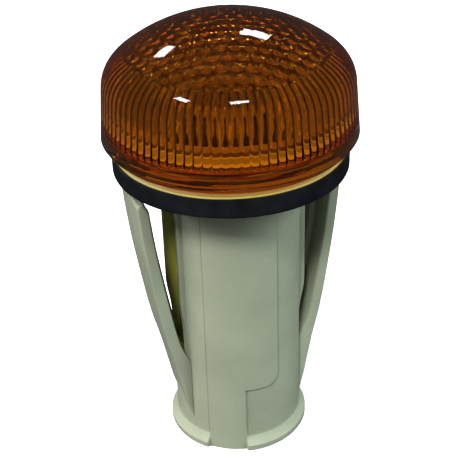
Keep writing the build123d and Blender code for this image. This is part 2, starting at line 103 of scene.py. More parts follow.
def arc(centre: tuple[float, float], radius: float, start: float, end: float, count: int) -> np.ndarray:
    """Points on a circle: centre plus radius times (cosine, sine) of evenly spaced angles.

    Args:
        centre: the circle's centre in the section plane.
        radius: its radius.
        start: first angle in degrees.
        end: last angle in degrees.
        count: number of points.

    Returns:
        Array of count rows (radius, height).
    """
    angles = np.radians(np.linspace(start, end, count))
    return np.stack([centre[0] + radius * np.cos(angles), centre[1] + radius * np.sin(angles)], axis=1)


def rounded(corners: Sequence[tuple[float, float, float]], steps: int = 5) -> np.ndarray:
    """Closed outline whose corners are rounded by quadratic curves.

    Each corner P with round r becomes the curve (1-t)^2 A + 2t(1-t) P + t^2 B, where A and B lie r
    from P along its two sides.

    Args:
        corners: rows of (radius, height, round).
        steps: points on each rounded corner.

    Returns:
        Array of (radius, height) rows in order round the outline.
    """
    table = np.array(corners, float)
    points, rounds = table[:, :2], table[:, 2:3]
    to_last = np.roll(points, 1, axis=0) - points
    to_next = np.roll(points, -1, axis=0) - points
    to_last /= np.linalg.norm(to_last, axis=1, keepdims=True)
    to_next /= np.linalg.norm(to_next, axis=1, keepdims=True)
    first, last = points + to_last * rounds, points + to_next * rounds
    t = np.linspace(0.0, 1.0, steps)[None, :, None]
    curve = (1 - t) ** 2 * first[:, None] + 2 * t * (1 - t) * points[:, None] + t**2 * last[:, None]
    curve = curve.reshape(-1, 2)
    step = np.linalg.norm(curve - np.roll(curve, 1, axis=0), axis=1)
    return curve[step > 1e-6]


def densified(outline: np.ndarray, longest: float, closed: bool) -> np.ndarray:
    """Outline with points added so that no side is longer than the given length.

    The outline is measured along its length, and points are interpolated at the old places and at
    even steps in between.

    Args:
        outline: rows of (radius, height).
        longest: the longest side to leave.
        closed: whether the last point joins the first.

    Returns:
        The denser outline.
    """
    loop = np.vstack([outline, outline[:1]]) if closed else outline
    along = np.concatenate([[0.0], np.cumsum(np.linalg.norm(np.diff(loop, axis=0), axis=1))])
    counts = np.maximum(np.ceil(np.diff(along) / longest - 1e-9), 1).astype(int)
    shares = np.concatenate([np.arange(count) / count + index for index, count in enumerate(counts)])
    shares = shares if closed else np.append(shares, float(len(counts)))
    places = np.interp(shares, np.arange(len(along)), along)
    return np.stack([np.interp(places, along, loop[:, 0]), np.interp(places, along, loop[:, 1])], axis=1)


def lines(low: float, high: float, step: float, marks: Sequence[float], blur: float) -> np.ndarray:
    """Grid lines from low to high, with three extra lines close round each mark.

    Args:
        low: first line.
        high: last line.
        step: spacing of the even lines.
        marks: places that need a crisp edge.
        blur: half the width of that edge.

    Returns:
        Sorted lines with no two closer than a third of the blur.
    """
    even = np.linspace(low, high, max(int(round((high - low) / step)), 1) + 1)
    spot = np.array(marks, float)
    near = np.concatenate([spot - blur, spot, spot + blur, [low, high]])
    near = np.unique(near[(near >= low) & (near <= high)])
    gap = np.abs(even[:, None] - near[None, :]).min(axis=1)
    return np.unique(np.concatenate([even[gap > blur * 0.9], near]))


# ---------------------------------------------------------------- mesh helpers


def mesh_object(name: str, points: np.ndarray, faces: np.ndarray, merge: float = 1e-6) -> bpy.types.Object:
    """Closed mesh from millimetre points and four-cornered faces, with poles merged and faces outwards.

    Args:
        name: name of the object.
        points: array of rows (x, y, z) in millimetres.
        faces: array of rows of four point numbers.
        merge: distance in metres under which points are joined.

    Returns:
        The linked object, at the origin.
    """
    mesh = bpy.data.meshes.new(name)
    mesh.vertices.add(len(points))
    mesh.vertices.foreach_set("co", (points * MM).astype(np.float32).ravel())
    mesh.loops.add(faces.size)
    mesh.loops.foreach_set("vertex_index", faces.astype(np.int32).ravel())
    mesh.polygons.add(len(faces))
    mesh.polygons.foreach_set("loop_start", np.arange(0, faces.size, 4, dtype=np.int32))
    mesh.update(calc_edges=True)
    work = bmesh.new()
    work.from_mesh(mesh)
    bmesh.ops.remove_doubles(work, verts=work.verts, dist=merge)
    bmesh.ops.dissolve_degenerate(work, edges=work.edges, dist=merge / 10)
    bmesh.ops.recalc_face_normals(work, faces=work.faces)
    work.to_mesh(mesh)
    work.free()
    mesh.polygons.foreach_set("use_smooth", np.ones(len(mesh.polygons), bool))
    mesh.set_sharp_from_angle(angle=SHARP_ANGLE)
    made = bpy.data.objects.new(name, mesh)
    bpy.context.scene.collection.objects.link(made)
    return made


def grid_faces(rows: int, columns: int, close_rows: bool, close_columns: bool) -> np.ndarray:
    """Four-cornered faces of a grid whose points are numbered row by row.

    Args:
        rows: number of rows of points.
        columns: number of points in a row.
        close_rows: whether the last row joins the first.
        close_columns: whether each row's last point joins its first.

    Returns:
        Array of rows of four point numbers.
    """
    row = np.arange(rows if close_rows else rows - 1)
    column = np.arange(columns if close_columns else columns - 1)
    row, column = np.meshgrid(row, column, indexing="ij")
    next_row, next_column = (row + 1) % rows, (column + 1) % columns
    corners = [row * columns + column, row * columns + next_column,
               next_row * columns + next_column, next_row * columns + column]
    return np.stack(corners, axis=-1).reshape(-1, 4)


def turned(name: str, outline: np.ndarray, segments: int, closed: bool,
           push: Optional[Push] = None) -> bpy.types.Object:
    """Surface of revolution: the point (r, z) of the outline goes to (r cos a, r sin a, z).

    Args:
        name: name of the object.
        outline: rows of (radius, height).
        segments: steps round the axis.
        closed: True for a ring section, False where both ends lie on the axis.
        push: optional distance to move each point along the section's normal, from its angle, radius
            and height.

    Returns:
        The new object.
    """
    angles = np.arange(segments) / segments * TURN
    radius, angle = np.meshgrid(outline[:, 0], angles, indexing="ij")
    height = np.repeat(outline[:, 1:2], segments, axis=1)
    if push is not None:
        before = np.roll(outline, 1, axis=0) if closed else np.vstack([outline[:1], outline[:-1]])
        after = np.roll(outline, -1, axis=0) if closed else np.vstack([outline[1:], outline[-1:]])
        along = after - before
        along /= np.maximum(np.linalg.norm(along, axis=1, keepdims=True), 1e-9)
        moved = push(angle, radius, height)
        radius, height = radius + moved * -along[:, 1:2], height + moved * along[:, 0:1]
    points = np.stack([radius * np.cos(angle), radius * np.sin(angle), height], axis=-1).reshape(-1, 3)
    return mesh_object(name, points, grid_faces(len(outline), segments, closed, True))


def swept(name: str, centres: np.ndarray, side: np.ndarray, lift: np.ndarray,
          section: np.ndarray) -> bpy.types.Object:
    """Section carried along a path, its two ends closed by collapsing them to a point.

    The point (u, v) of the section at step i goes to centre_i + u side_i + v lift_i.

    Args:
        name: name of the object.
        centres: path points, rows (x, y, z).
        side: the section's first axis at each step.
        lift: the section's second axis at each step.
        section: array (steps or 1, points, 2) of section points.

    Returns:
        The new object.
    """
    section = np.broadcast_to(section, (len(centres),) + section.shape[1:])
    body = centres[:, None] + section[..., :1] * side[:, None] + section[..., 1:] * lift[:, None]
    count = section.shape[1]
    first = np.repeat(body[:1].mean(axis=1, keepdims=True), count, 1)
    last = np.repeat(body[-1:].mean(axis=1, keepdims=True), count, 1)
    body = np.concatenate([first, body, last])
    return mesh_object(name, body.reshape(-1, 3), grid_faces(len(body), count, False, True))


# ---------------------------------------------------------------- finishes


class Shader:
    """A material under construction: its node tree, its surface shader and a chain of coordinates."""

    def __init__(self, name: str) -> None:
        """Starts a material with one surface shader and object coordinates in millimetres."""
        self.material = bpy.data.materials.new(name)
        self.material.use_nodes = True
        self.tree = self.material.node_tree
        self.surface = self.tree.nodes["Principled BSDF"]
        self.output = self.tree.nodes["Material Output"]
        self.place = self.node("ShaderNodeTexCoord").outputs["Object"]

    def node(self, kind: str, **settings: object) -> bpy.types.Node:
        """Adds a node and sets its plain properties.

        Args:
            kind: the node's type name.
            settings: properties to set on it.

        Returns:
            The node.
        """
        made = self.tree.nodes.new(kind)
        for key, value in settings.items():
            setattr(made, key, value)
        return made

    def join(self, start: bpy.types.NodeSocket, end: bpy.types.NodeSocket) -> None:
        """Links an output to an input."""
        self.tree.links.new(start, end)

    def scaled(self, stretch: Triple) -> bpy.types.NodeSocket:
        """Object coordinates in millimetres, stretched along each axis.

        Args:
            stretch: factor along X, Y and Z.

        Returns:
            The vector output.
        """
        mapping = self.node("ShaderNodeMapping")
        self.join(self.place, mapping.inputs["Vector"])
        mapping.inputs["Scale"].default_value = tuple(1000.0 * part for part in stretch)
        return mapping.outputs["Vector"]

    def noise(self, scale: float, detail: float = 4.0, stretch: Triple = (1, 1, 1)) -> bpy.types.NodeSocket:
        """Fractal noise with its features about 1 / scale millimetres wide.

        Args:
            scale: noise scale per millimetre.
            detail: number of octaves.
            stretch: factor along each axis.

        Returns:
            The noise's number output.
        """
        made = self.node("ShaderNodeTexNoise")
        made.inputs["Scale"].default_value = scale
        made.inputs["Detail"].default_value = detail
        self.join(self.scaled(stretch), made.inputs["Vector"])
        return made.outputs["Fac"]

    def spread(self, source: bpy.types.NodeSocket, low: float, high: float) -> bpy.types.NodeSocket:
        """Noise from about 0.3 to 0.7 mapped onto a wanted range.

        Args:
            source: the number to map.
            low: result at the noise's low end.
            high: result at its high end.

        Returns:
            The mapped number.
        """
        made = self.node("ShaderNodeMapRange")
        made.inputs["From Min"].default_value = 0.3
        made.inputs["From Max"].default_value = 0.7
        made.inputs["To Min"].default_value = low
        made.inputs["To Max"].default_value = high
        self.join(source, made.inputs["Value"])
        return made.outputs["Result"]

    def blend(self, share: bpy.types.NodeSocket, first: Triple, second: Triple) -> bpy.types.NodeSocket:
        """Colour between two, by a share from 0 to 1.

        Args:
            share: the share of the second colour.
            first: colour at 0.
            second: colour at 1.

        Returns:
            The colour output.
        """
        made = self.node("ShaderNodeMix", data_type="RGBA")
        made.inputs[6].default_value = (*first, 1.0)
        made.inputs[7].default_value = (*second, 1.0)
        self.join(share, made.inputs[0])
        return made.outputs[2]

    def bump(self, height: bpy.types.NodeSocket, depth: float) -> None:
        """Roughens the surface shader's normal by a height in millimetres times depth."""
        made = self.node("ShaderNodeBump")
        made.inputs["Strength"].default_value = 1.0
        made.inputs["Distance"].default_value = depth * MM
        self.join(height, made.inputs["Height"])
        self.join(made.outputs["Normal"], self.surface.inputs["Normal"])


@dataclass(frozen=True)
class SolidFinish:
    """An opaque finish: two close colours, a fine pattern and a roughness that wanders."""

    name: str
    colour: Triple
    shade: Triple
    rough: tuple[float, float] = (0.4, 0.55)
    pattern: Pattern = Pattern.GRAIN
    patch: float = 0.12
    grain: float = 3.0
    depth: float = 0.01
    metal: float = 0.0
    gloss: float = 0.5
    coat: float = 0.0
    softness: float = 0.0

    def material(self) -> bpy.types.Material:
        """Builds the node material.

        Returns:
            The material.
        """
        shader = Shader(self.name)
        stretch = {Pattern.GRAIN: (1.0, 1.0, 1.0), Pattern.BRUSHED: (1.0, 1.0, 0.06),
                   Pattern.LAYERED: (0.12, 0.12, 2.2)}[self.pattern]
        fine = shader.noise(self.grain, 5.0, stretch)
        broad = shader.noise(self.patch, 3.0)
        mixed = shader.node("ShaderNodeMath", operation="MULTIPLY_ADD")
        shader.join(shader.spread(fine, -0.22, 0.22), mixed.inputs[0])
        mixed.inputs[1].default_value = 1.0
        shader.join(shader.spread(broad, 0.0, 1.0), mixed.inputs[2])
        surface = shader.surface
        shader.join(shader.blend(mixed.outputs[0], self.colour, self.shade), surface.inputs["Base Color"])
        shader.join(shader.spread(fine, *self.rough), surface.inputs["Roughness"])
        surface.inputs["Metallic"].default_value = self.metal
        surface.inputs["Specular IOR Level"].default_value = self.gloss
        surface.inputs["Coat Weight"].default_value = self.coat
        if self.softness:
            surface.inputs["Subsurface Weight"].default_value = self.softness
            surface.inputs["Subsurface Radius"].default_value = (1.0, 0.8, 0.5)
            surface.inputs["Subsurface Scale"].default_value = 0.002
        shader.bump(fine, self.depth)
        return shader.material


@dataclass(frozen=True)
class ClearFinish:
    """A clear or tinted finish that lets lamps shine through it."""

    name: str
    tint: Triple
    lamp_tint: Triple
    rough: float = 0.02
    index: float = 1.49
    gloss: float = 0.5
    ripple: float = 0.0
    ripple_scale: float = 0.5

    def material(self) -> bpy.types.Material:
        """Builds glass that bends sight, and that lamps pass as through a thin tinted film.

        Returns:
            The material.
        """
        shader = Shader(self.name)
        surface = shader.surface
        surface.inputs["Base Color"].default_value = (*self.tint, 1.0)
        surface.inputs["Roughness"].default_value = self.rough
        surface.inputs["IOR"].default_value = self.index
        surface.inputs["Specular IOR Level"].default_value = self.gloss
        surface.inputs["Transmission Weight"].default_value = 1.0
        if self.ripple:
            shader.bump(shader.noise(self.ripple_scale, 3.0), self.ripple)
        lamp = shader.node("ShaderNodeBsdfTransparent")
        lamp.inputs["Color"].default_value = (*self.lamp_tint, 1.0)
        path = shader.node("ShaderNodeLightPath")
        choice = shader.node("ShaderNodeMixShader")
        shader.join(path.outputs["Is Shadow Ray"], choice.inputs[0])
        shader.join(surface.outputs["BSDF"], choice.inputs[1])
        shader.join(lamp.outputs["BSDF"], choice.inputs[2])
        shader.join(choice.outputs["Shader"], shader.output.inputs["Surface"])
        return shader.material


NYLON = SolidFinish(
    "cream_nylon", (0.245, 0.27, 0.195), (0.21, 0.233, 0.166), (0.42, 0.6), patch=0.09, grain=2.6, depth=0.02,
    gloss=0.35, softness=0.08)
# Painted shade: an olive, blue-poor copy of the cream nylon, standing in for the shadow and warm bounce light
# inside the bore and the windows.
NYLON_PAINTED_SHADE = SolidFinish(
    "cream_nylon_painted_shade", (0.34, 0.34, 0.05), (0.26, 0.26, 0.04), (0.45, 0.62), patch=0.15, grain=2.6, depth=0.02,
    gloss=0.3)
CARRIER_NYLON = SolidFinish(
    "carrier_nylon", (0.255, 0.265, 0.19), (0.215, 0.225, 0.16), (0.45, 0.65), grain=2.2, depth=0.02)
GASKET = SolidFinish(
    "gasket_rubber", (0.0035, 0.004, 0.0055), (0.007, 0.0078, 0.010), (0.5, 0.75), patch=0.25, grain=3.5,
    depth=0.03, gloss=0.12)
SEAL = SolidFinish(
    "seal_rubber", (0.20, 0.17, 0.12), (0.15, 0.13, 0.09), (0.55, 0.75), grain=3.0, depth=0.02, gloss=0.3)
SILVER = SolidFinish(
    "silvered_plastic", (0.42, 0.41, 0.38), (0.33, 0.32, 0.295), (0.24, 0.38), patch=0.2, grain=1.2,
    depth=0.012, metal=0.85)
ZINC = SolidFinish(
    "zinc_plated_steel", (0.60, 0.59, 0.55), (0.50, 0.49, 0.44), (0.26, 0.42), Pattern.BRUSHED, patch=0.2,
    grain=4.0, depth=0.006, metal=1.0)
BRASS = SolidFinish(
    "plain_brass", (0.66, 0.47, 0.20), (0.50, 0.34, 0.14), (0.24, 0.42), Pattern.BRUSHED, patch=0.3, grain=3.0,
    depth=0.006, metal=1.0)
BOARD = SolidFinish(
    "laminated_board", (0.16, 0.075, 0.03), (0.10, 0.045, 0.02), (0.42, 0.6), Pattern.LAYERED, grain=3.0,
    depth=0.015)
SPRING = SolidFinish(
    "spring_wire", (0.50, 0.50, 0.50), (0.40, 0.40, 0.39), (0.2, 0.35), Pattern.BRUSHED, grain=5.0,
    depth=0.004, metal=1.0)
PLUNGER = SolidFinish(
    "plunger_nylon", (0.62, 0.61, 0.55), (0.52, 0.51, 0.45), (0.4, 0.55), grain=2.5, depth=0.012)
NICKEL = SolidFinish(
    "nickel_cap", (0.68, 0.65, 0.58), (0.56, 0.53, 0.46), (0.18, 0.34), Pattern.BRUSHED, patch=0.3, grain=3.0,
    depth=0.005, metal=1.0)
SOLDER = SolidFinish(
    "solder", (0.45, 0.45, 0.45), (0.34, 0.34, 0.34), (0.35, 0.55), grain=1.6, depth=0.03, metal=1.0)
DARK_GLASS = SolidFinish(
    "dark_insulator", (0.012, 0.010, 0.016), (0.02, 0.017, 0.025), (0.08, 0.16), grain=1.0, depth=0.01,
    coat=0.6)
LEAD = SolidFinish(
    "lead_wire", (0.40, 0.39, 0.37), (0.30, 0.29, 0.28), (0.3, 0.45), Pattern.BRUSHED, grain=6.0, depth=0.003,
    metal=1.0)
AMBER = ClearFinish("amber_plastic", (0.80, 0.28, 0.008), (0.96, 0.82, 0.34), rough=0.03)
PAPER = SolidFinish(
    "pale_paper", (0.93, 0.93, 0.925), (0.92, 0.92, 0.915), (0.8, 0.9), patch=0.002, grain=0.5, depth=0.0,
    gloss=0.1)
BULB_GLASS = ClearFinish(
    "bulb_glass", (0.97, 0.98, 0.98), (0.95, 0.96, 0.96), rough=0.01, index=1.45, ripple=0.01)


def dressed(piece: bpy.types.Object, finish: "SolidFinish | ClearFinish", body: Body,
            replaced: Sequence[str] = ()) -> bpy.types.Object:
    """Gives a new piece its finish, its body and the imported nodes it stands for.

    Args:
        piece: the object.
        finish: its finish.
        body: the body it rides on.
        replaced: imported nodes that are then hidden.

    Returns:
        The same object.
    """
    piece.data.materials.clear()
    piece.data.materials.append(finish.material())
    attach(piece, body.value)
    if replaced:
        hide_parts(*replaced)
    log.info("%s: %d faces", piece.name, len(piece.data.polygons))
    return piece


def repainted(node: str, finish: "SolidFinish | ClearFinish") -> None:
    """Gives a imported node, whose shape is right, its finish."""
    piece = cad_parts[node]
    piece.data.materials.clear()
    piece.data.materials.append(finish.material())
    log.info("%s: packed shape, new finish", node)


# ---------------------------------------------------------------- sub-assemblies


@dataclass
class Thread:
    """One turn of helical rib whose middle rises by the lead in a turn."""

    start: float
    lead: float = 2.5
    height: float = 0.9
    half_root: float = 0.6
    half_crest: float = 0.3
    fade: float = 0.12

    def push(self, angle: np.ndarray, height: np.ndarray) -> np.ndarray:
        """Height of the rib's surface above its wall.

        The rib is full where the height is within half_crest of start + lead * angle / turn, and falls
        straight to nothing at half_root; it fades in and out over the first and last few degrees.

        Args:
            angle: angles round the axis in radians, from 0 to a turn.
            height: heights of the points.

        Returns:
            The distance to push each point.
        """
        middle = self.start + self.lead * angle / TURN
        flank = np.clip((self.half_root - np.abs(height - middle)) / (self.half_root - self.half_crest), 0, 1)
        ends = ease(angle, 0.0, self.fade) * ease(TURN - angle, 0.0, self.fade)
        return self.height * flank * ends


@dataclass
class AmberLens:
    """Screw-on lens: smooth outside, fluted and pillowed inside, with a threaded skirt."""

    base_z: float = 66.0
    base_r: float = 22.3
    widest_r: float = 25.0
    widest_z: float = 69.2
    shoulder_r: float = 23.9
    shoulder_z: float = 82.4
    top_z: float = 92.0
    corner: float = 3.0
    wall: float = 2.0
    draft: float = 0.2
    inner_drop: float = 1.0
    inner_corner: float = 1.8
    bore_r: float = 20.35
    ledge_z: float = 71.2
    seal_inner_r: float = 20.6
    seal_outer_r: float = 21.9
    seal_top_z: float = 67.05
    flutes: int = 90
    flute_depth: float = 0.32
    flute_samples: int = 6
    flute_end: tuple[float, float] = (0.1, 0.7)
    pillow_pitch: float = 2.45
    pillow_share: float = 0.577
    pillow_depth: float = 0.62
    pillow_reach: float = 18.2
    pillow_edge: float = 0.5
    sink_depth: float = 0.012
    thread: Thread = field(default_factory=lambda: Thread(start=67.3, height=1.0))

    def shoulder(self, edge_r: float, edge_z: float, top_z: float, base: tuple[float, float], corner: float,
                 count: int) -> np.ndarray:
        """Crown and rounded shoulder, from the axis outwards.

        The crown is the circle through the axis at top_z and the edge (edge_r, edge_z). Its corner with
        the wall is replaced by a quadratic curve.

        Args:
            edge_r: radius where crown and wall would meet.
            edge_z: height of that edge.
            top_z: height on the axis.
            base: a lower point of the wall.
            corner: how far the rounding reaches along crown and wall.
            count: points on the crown.

        Returns:
            Rows of (radius, height).
        """
        rise = top_z - edge_z
        crown_r = (edge_r**2 + rise**2) / (2 * rise)
        centre_z = top_z - crown_r
        half = math.degrees(math.asin((edge_r - corner * 0.85) / crown_r))
        crown = arc((0.0, centre_z), crown_r, 90.0, 90.0 - half, count)
        down = np.array(base) - np.array([edge_r, edge_z])
        wall_start = np.array([edge_r, edge_z]) + down / np.linalg.norm(down) * corner
        t = np.linspace(0, 1, 9)[1:, None]
        turn = (1 - t) ** 2 * crown[-1] + 2 * t * (1 - t) * np.array([edge_r, edge_z]) + t**2 * wall_start
        return np.vstack([crown, turn])

    def outline(self) -> tuple[np.ndarray, np.ndarray]:
        """Half section from the cavity's crown, down inside, round the base and up outside.

        Returns:
            The points and a mark for each: 1 in the cavity, 2 in the threaded bore, 3 on the crown and
            shoulder outside, 0 elsewhere.
        """
        inner_r = self.widest_r - self.wall - self.draft
        foot_z = self.ledge_z
        inside = self.shoulder(
            self.shoulder_r - self.wall, self.shoulder_z - self.inner_drop, self.top_z - self.wall,
            (inner_r, foot_z + self.inner_drop), self.inner_corner, 84)
        plain_wall = np.array([inside[-1], [inner_r, foot_z + 0.8]])
        fading_wall = np.array([[inner_r, foot_z + 0.65], [inner_r, foot_z + 0.1]])
        inside_wall = np.vstack([densified(plain_wall, 2.0, False)[1:], densified(fading_wall, 0.15, False)])
        ledge = np.vstack([[[inner_r, foot_z]], arc((self.bore_r + 0.1, foot_z - 0.1), 0.1, 90.0, 180.0, 4)])
        bore = np.array([[self.bore_r, foot_z - 0.25], [self.bore_r, self.base_z + 0.3]])
        base = np.array([
            [self.bore_r + 0.2, self.base_z], [self.seal_inner_r, self.base_z],
            [self.seal_inner_r, self.seal_top_z], [self.seal_outer_r, self.seal_top_z],
            [self.seal_outer_r, self.base_z], [self.base_r - 0.15, self.base_z],
            [self.base_r + 0.05, self.base_z + 0.1]])
        outside = self.shoulder(
            self.shoulder_r, self.shoulder_z, self.top_z, (self.widest_r, self.widest_z), self.corner, 26)
        bevel_top = np.array([
            [self.widest_r - 0.18, self.widest_z - 0.25], [self.widest_r, self.widest_z + 0.1]])
        side = densified(np.array([bevel_top[-1], outside[-1]]), 4.0, False)[1:-1]
        parts = [inside, inside_wall, ledge, densified(bore, 0.3, False), base, bevel_top, side, outside[::-1]]
        marks = [1, 1, 0, 2, 0, 0, 0, 3]
        zones = np.concatenate([np.full(len(part), mark) for part, mark in zip(parts, marks)])
        return np.vstack(parts), zones

    def pillows(self, x: np.ndarray, y: np.ndarray) -> np.ndarray:
        """Height of the round prisms, set out as a honeycomb.

        The nearest of two staggered square-cornered lattices gives the distance d to a pillow's middle,
        and its height is one less d squared over the square of a pillow's reach.

        Args:
            x: points' X.
            y: points' Y.

        Returns:
            Heights from 0 to 1.
        """
        pitch, row = self.pillow_pitch, self.pillow_pitch * math.sqrt(3.0)
        first = np.hypot(x - pitch * np.round(x / pitch), y - row * np.round(y / row))
        u, v = x - pitch / 2, y - row / 2
        second = np.hypot(u - pitch * np.round(u / pitch), v - row * np.round(v / row))
        near = np.minimum(first, second)
        return 1.0 - (near / (pitch * self.pillow_share)) ** 2

    def relief(self, marks: np.ndarray) -> Push:
        """The push of the cavity's flutes and pillows and of the bore's thread.

        Args:
            marks: the outline's zones.

        Returns:
            A function of angle, radius and height.
        """
        zone = marks[:, None]

        def push(angle: np.ndarray, radius: np.ndarray, height: np.ndarray) -> np.ndarray:
            """Distance along the section's normal: flutes are |cos(flutes * angle / 2)| deep, and stop at
            the pillows above and at the ledge below."""
            rib = np.abs(np.cos(angle * self.flutes / 2))
            beyond = ease(radius, self.pillow_reach, self.pillow_reach + self.pillow_edge)
            above = ease(height, self.ledge_z + self.flute_end[0], self.ledge_z + self.flute_end[1])
            flute = self.flute_depth * rib * beyond * above
            pillow = self.pillows(radius * np.cos(angle), radius * np.sin(angle)) * (1 - beyond)
            cavity = np.where(zone == 1, flute + self.pillow_depth * pillow, 0.0)
            thread = np.where(zone == 2, self.thread.push(angle, height), 0.0)
            return -cavity - thread - np.where(zone == 3, self.sink_depth * pillow, 0.0)

        return push

    def build(self) -> bpy.types.Object:
        """Builds the lens as one closed skin.

        Returns:
            The lens.
        """
        outline, marks = self.outline()
        lens = turned("lens_shell", outline, self.flutes * self.flute_samples, False, self.relief(marks))
        return dressed(lens, AMBER, Body.LENS, ["lens"])


@dataclass
class HousingHead:
    """Flange, threaded collar, gasket groove and spigot at the top of the housing."""

    stem_bore_r: float = 12.0
    spigot_bottom_z: float = 59.9
    collar_r: float = 19.0
    collar_top_z: float = 72.5
    collar_bore_r: float = 17.4
    floor_z: float = 64.0
    flange_r: float = 22.5
    flange_z: tuple[float, float] = (64.6, 65.7)
    relief_r: tuple[float, float] = (14.8, 17.2)
    relief_top_z: float = 62.3
    spigot_r: float = 18.6
    groove_r: float = 18.0
    groove_z: float = 62.0
    segments: int = 240
    thread: Thread = field(default_factory=lambda: Thread(start=68.55, height=0.9))

    def outline(self) -> np.ndarray:
        """Closed half section with small rounds at the corners.

        Returns:
            Rows of (radius, height).
        """
        low, high = self.flange_z
        foot, (near, far) = self.spigot_bottom_z, self.relief_r
        corners = [
            (self.stem_bore_r, foot, 0.1), (near, foot, 0.2), (near, self.relief_top_z, 0.3),
            (far, self.relief_top_z, 0.3), (far, foot, 0.2), (self.spigot_r, foot, 0.3),
            (self.spigot_r, self.groove_z, 0.15), (self.groove_r, self.groove_z, 0.15),
            (self.groove_r, low, 0.1), (self.flange_r, low, 0.2), (self.flange_r, high, 0.3),
            (self.collar_r, high, 0.1), (self.collar_r, self.collar_top_z, 0.25),
            (self.collar_bore_r, self.collar_top_z, 0.25),
            (self.collar_bore_r, self.floor_z, 0.3), (self.stem_bore_r, self.floor_z, 0.3)]
        return densified(rounded(corners, 4), 0.3, True)

    def push(self, angle: np.ndarray, radius: np.ndarray, height: np.ndarray) -> np.ndarray:
        """The collar's thread, on the collar's outer wall only."""
        wall = (np.abs(radius - self.collar_r) < 0.02) & (height > self.flange_z[1] + 0.2)
        return -np.where(wall, self.thread.push(angle, height), 0.0)

    def build(self) -> bpy.types.Object:
        """Builds the head.

        Returns:
            The head piece.
        """
        head = turned("housing_head", self.outline(), self.segments, True, self.push)
        return dressed(head, NYLON, Body.HOUSING, ["housing"])


